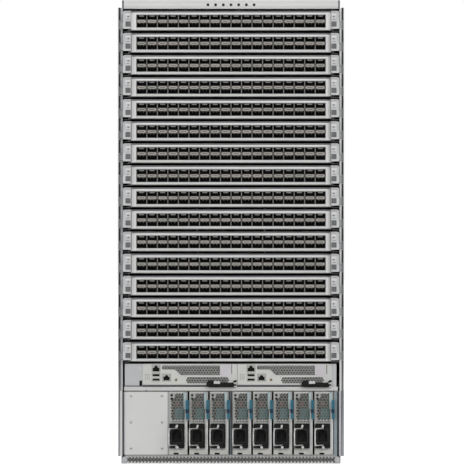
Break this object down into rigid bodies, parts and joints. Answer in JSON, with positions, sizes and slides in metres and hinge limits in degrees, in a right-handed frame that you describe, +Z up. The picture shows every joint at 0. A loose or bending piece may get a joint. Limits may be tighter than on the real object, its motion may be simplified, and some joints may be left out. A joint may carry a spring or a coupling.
{
  "type": "modular chassis switch",
  "caption": "Tall rack-standing data switch: stacked line cards with ejector levers over supervisors and a row of power supplies; fan trays at the back.",
  "frame": {"origin": "middle of the whole's footprint, on the floor", "axes": "+Z up, the front with the cards looks towards -Y, +X to the right as one faces it"},
  "size_m": [0.4552, 0.8068, 0.9334],
  "materials": {
    "wall_paint": "satin",
    "bracket_paint": "satin",
    "bezel_paint": "satin",
    "fabric_metal": "satin",
    "tray_metal": "satin",
    "rotor_plastic": "matt",
    "controller_metal": "satin",
    "supervisor_metal": "satin",
    "ejector_plastic": "matt",
    "card_metal": "satin",
    "lever_plastic": "satin",
    "supply_metal": "satin",
    "latch_plastic": "satin",
    "bail_wire": "bright"
  },
  "bodies": {
    "chassis": {"side_wall_left": "wall_paint", "side_wall_right": "wall_paint", "side_bracket_left": "bracket_paint", "side_bracket_right": "bracket_paint", "top_cover": "wall_paint", "top_bezel": "bezel_paint", "base_pan": "wall_paint", "intake_grille": "bezel_paint", "supply_bay": "wall_paint", "supply_blank_panel": "bezel_paint", "supervisor_shelf": "bezel_paint", "supervisor_filler_left": "bezel_paint", "supervisor_filler_right": "bezel_paint", "rear_vent_panel": "wall_paint", "rear_deck": "wall_paint", "fabric_modules": "fabric_metal"},
    "fan_tray_left": {"fan_tray_left": "tray_metal"},
    "fan_tray_left_rotor": {"fan_tray_left_rotor": "rotor_plastic"},
    "fan_tray_middle": {"fan_tray_middle": "tray_metal"},
    "fan_tray_middle_rotor": {"fan_tray_middle_rotor": "rotor_plastic"},
    "fan_tray_right": {"fan_tray_right": "tray_metal"},
    "fan_tray_right_rotor": {"fan_tray_right_rotor": "rotor_plastic"},
    "line_card_01": {"line_card_01": "card_metal"},
    "line_card_01_lever_left": {"line_card_01_lever_left": "lever_plastic"},
    "line_card_01_lever_right": {"line_card_01_lever_right": "lever_plastic"},
    "line_card_02": {"line_card_02": "card_metal"},
    "line_card_03": {"line_card_03": "card_metal"},
    "line_card_04": {"line_card_04": "card_metal"},
    "line_card_05": {"line_card_05": "card_metal"},
    "line_card_06": {"line_card_06": "card_metal"},
    "line_card_07": {"line_card_07": "card_metal"},
    "line_card_08": {"line_card_08": "card_metal"},
    "line_card_09": {"line_card_09": "card_metal"},
    "line_card_10": {"line_card_10": "card_metal"},
    "line_card_11": {"line_card_11": "card_metal"},
    "line_card_12": {"line_card_12": "card_metal"},
    "line_card_13": {"line_card_13": "card_metal"},
    "line_card_14": {"line_card_14": "card_metal"},
    "line_card_15": {"line_card_15": "card_metal"},
    "line_card_16": {"line_card_16": "card_metal"},
    "power_supply_1": {"power_supply_1": "supply_metal"},
    "power_supply_1_bail": {"power_supply_1_bail": "bail_wire"},
    "power_supply_1_latch": {"power_supply_1_latch": "latch_plastic"},
    "power_supply_2": {"power_supply_2": "supply_metal"},
    "power_supply_3": {"power_supply_3": "supply_metal"},
    "power_supply_4": {"power_supply_4": "supply_metal"},
    "power_supply_5": {"power_supply_5": "supply_metal"},
    "power_supply_6": {"power_supply_6": "supply_metal"},
    "power_supply_7": {"power_supply_7": "supply_metal"},
    "power_supply_8": {"power_supply_8": "supply_metal"},
    "supervisor_1": {"supervisor_1": "supervisor_metal"},
    "supervisor_1_ejector": {"supervisor_1_ejector": "ejector_plastic"},
    "supervisor_2": {"supervisor_2": "supervisor_metal"},
    "supervisor_2_ejector": {"supervisor_2_ejector": "ejector_plastic"},
    "system_controller_left": {"system_controller_left": "controller_metal"},
    "system_controller_right": {"system_controller_right": "controller_metal"}
  },
  "joints": [
    {"name": "line_card_01_slide", "type": "slide", "parent": "chassis", "child": "line_card_01", "axis": [0, -1, 0], "range_m": [0, 0.5]},
    {"name": "line_card_01_lever_left_swing", "type": "hinge", "parent": "line_card_01", "child": "line_card_01_lever_left", "pos_m": [-0.2118, -0.377, 0.8954], "axis": [0, 0, 1], "range_deg": [-50, 0]},
    {"name": "line_card_01_lever_right_swing", "type": "hinge", "parent": "line_card_01", "child": "line_card_01_lever_right", "pos_m": [0.2118, -0.377, 0.8954], "axis": [0, 0, 1], "range_deg": [0, 50]},
    {"name": "supervisor_1_slide", "type": "slide", "parent": "chassis", "child": "supervisor_1", "axis": [0, -1, 0], "range_m": [0, 0.5]},
    {"name": "supervisor_1_ejector_swing", "type": "hinge", "parent": "supervisor_1", "child": "supervisor_1_ejector", "pos_m": [0.0086, -0.377, 0.158], "axis": [0, 0, 1], "range_deg": [0, 80]},
    {"name": "power_supply_1_slide", "type": "slide", "parent": "chassis", "child": "power_supply_1", "axis": [0, -1, 0], "range_m": [0, 0.56]},
    {"name": "power_supply_1_latch_press", "type": "hinge", "parent": "power_supply_1", "child": "power_supply_1_latch", "pos_m": [-0.0875, -0.3746, 0.108], "axis": [0, 0, 1], "range_deg": [-8, 0], "stiffness_Nm_per_rad": 0.5},
    {"name": "power_supply_1_bail_swing", "type": "hinge", "parent": "power_supply_1", "child": "power_supply_1_bail", "pos_m": [-0.1098, -0.3806, 0.0541], "axis": [0, 0, 1], "range_deg": [-50, 115]},
    {"name": "fan_tray_left_slide", "type": "slide", "parent": "chassis", "child": "fan_tray_left", "axis": [0, 1, 0], "range_m": [0, 0.15]},
    {"name": "fan_tray_left_rotor_spin", "type": "hinge", "parent": "fan_tray_left", "child": "fan_tray_left_rotor", "pos_m": [-0.1446, 0.3552, 0.55825], "axis": [0, 1, 0], "continuous": true},
    {"name": "system_controller_left_slide", "type": "slide", "parent": "chassis", "child": "system_controller_left", "axis": [0, 1, 0], "range_m": [0, 0.25]},
    {"name": "fan_tray_middle_slide", "type": "slide", "parent": "chassis", "child": "fan_tray_middle", "axis": [0, 1, 0], "range_m": [0, 0.15]},
    {"name": "fan_tray_right_slide", "type": "slide", "parent": "chassis", "child": "fan_tray_right", "axis": [0, 1, 0], "range_m": [0, 0.15]},
    {"name": "system_controller_right_slide", "type": "slide", "parent": "chassis", "child": "system_controller_right", "axis": [0, 1, 0], "range_m": [0, 0.25]},
    {"name": "supervisor_2_slide", "type": "slide", "parent": "chassis", "child": "supervisor_2", "axis": [0, -1, 0], "range_m": [0, 0.5]},
    {"name": "supervisor_2_ejector_swing", "type": "hinge", "parent": "supervisor_2", "child": "supervisor_2_ejector", "pos_m": [0.1999, -0.377, 0.158], "axis": [0, 0, 1], "range_deg": [0, 80]},
    {"name": "power_supply_2_slide", "type": "slide", "parent": "chassis", "child": "power_supply_2", "axis": [0, -1, 0], "range_m": [0, 0.56]},
    {"name": "power_supply_3_slide", "type": "slide", "parent": "chassis", "child": "power_supply_3", "axis": [0, -1, 0], "range_m": [0, 0.56]},
    {"name": "power_supply_4_slide", "type": "slide", "parent": "chassis", "child": "power_supply_4", "axis": [0, -1, 0], "range_m": [0, 0.56]},
    {"name": "power_supply_5_slide", "type": "slide", "parent": "chassis", "child": "power_supply_5", "axis": [0, -1, 0], "range_m": [0, 0.56]},
    {"name": "power_supply_6_slide", "type": "slide", "parent": "chassis", "child": "power_supply_6", "axis": [0, -1, 0], "range_m": [0, 0.56]},
    {"name": "power_supply_7_slide", "type": "slide", "parent": "chassis", "child": "power_supply_7", "axis": [0, -1, 0], "range_m": [0, 0.56]},
    {"name": "power_supply_8_slide", "type": "slide", "parent": "chassis", "child": "power_supply_8", "axis": [0, -1, 0], "range_m": [0, 0.56]},
    {"name": "line_card_02_slide", "type": "slide", "parent": "chassis", "child": "line_card_02", "axis": [0, -1, 0], "range_m": [0, 0.5]},
    {"name": "line_card_03_slide", "type": "slide", "parent": "chassis", "child": "line_card_03", "axis": [0, -1, 0], "range_m": [0, 0.5]},
    {"name": "line_card_04_slide", "type": "slide", "parent": "chassis", "child": "line_card_04", "axis": [0, -1, 0], "range_m": [0, 0.5]},
    {"name": "line_card_05_slide", "type": "slide", "parent": "chassis", "child": "line_card_05", "axis": [0, -1, 0], "range_m": [0, 0.5]},
    {"name": "line_card_06_slide", "type": "slide", "parent": "chassis", "child": "line_card_06", "axis": [0, -1, 0], "range_m": [0, 0.5]},
    {"name": "line_card_07_slide", "type": "slide", "parent": "chassis", "child": "line_card_07", "axis": [0, -1, 0], "range_m": [0, 0.5]},
    {"name": "line_card_08_slide", "type": "slide", "parent": "chassis", "child": "line_card_08", "axis": [0, -1, 0], "range_m": [0, 0.5]},
    {"name": "line_card_09_slide", "type": "slide", "parent": "chassis", "child": "line_card_09", "axis": [0, -1, 0], "range_m": [0, 0.5]},
    {"name": "line_card_10_slide", "type": "slide", "parent": "chassis", "child": "line_card_10", "axis": [0, -1, 0], "range_m": [0, 0.5]},
    {"name": "line_card_11_slide", "type": "slide", "parent": "chassis", "child": "line_card_11", "axis": [0, -1, 0], "range_m": [0, 0.5]},
    {"name": "line_card_12_slide", "type": "slide", "parent": "chassis", "child": "line_card_12", "axis": [0, -1, 0], "range_m": [0, 0.5]},
    {"name": "line_card_13_slide", "type": "slide", "parent": "chassis", "child": "line_card_13", "axis": [0, -1, 0], "range_m": [0, 0.5]},
    {"name": "line_card_14_slide", "type": "slide", "parent": "chassis", "child": "line_card_14", "axis": [0, -1, 0], "range_m": [0, 0.5]},
    {"name": "line_card_15_slide", "type": "slide", "parent": "chassis", "child": "line_card_15", "axis": [0, -1, 0], "range_m": [0, 0.5]},
    {"name": "line_card_16_slide", "type": "slide", "parent": "chassis", "child": "line_card_16", "axis": [0, -1, 0], "range_m": [0, 0.5]},
    {"name": "fan_tray_middle_rotor_spin", "type": "hinge", "parent": "fan_tray_middle", "child": "fan_tray_middle_rotor", "pos_m": [0, 0.3552, 0.55825], "axis": [0, 1, 0], "continuous": true},
    {"name": "fan_tray_right_rotor_spin", "type": "hinge", "parent": "fan_tray_right", "child": "fan_tray_right_rotor", "pos_m": [0.1446, 0.3552, 0.55825], "axis": [0, 1, 0], "continuous": true}
  ]
}
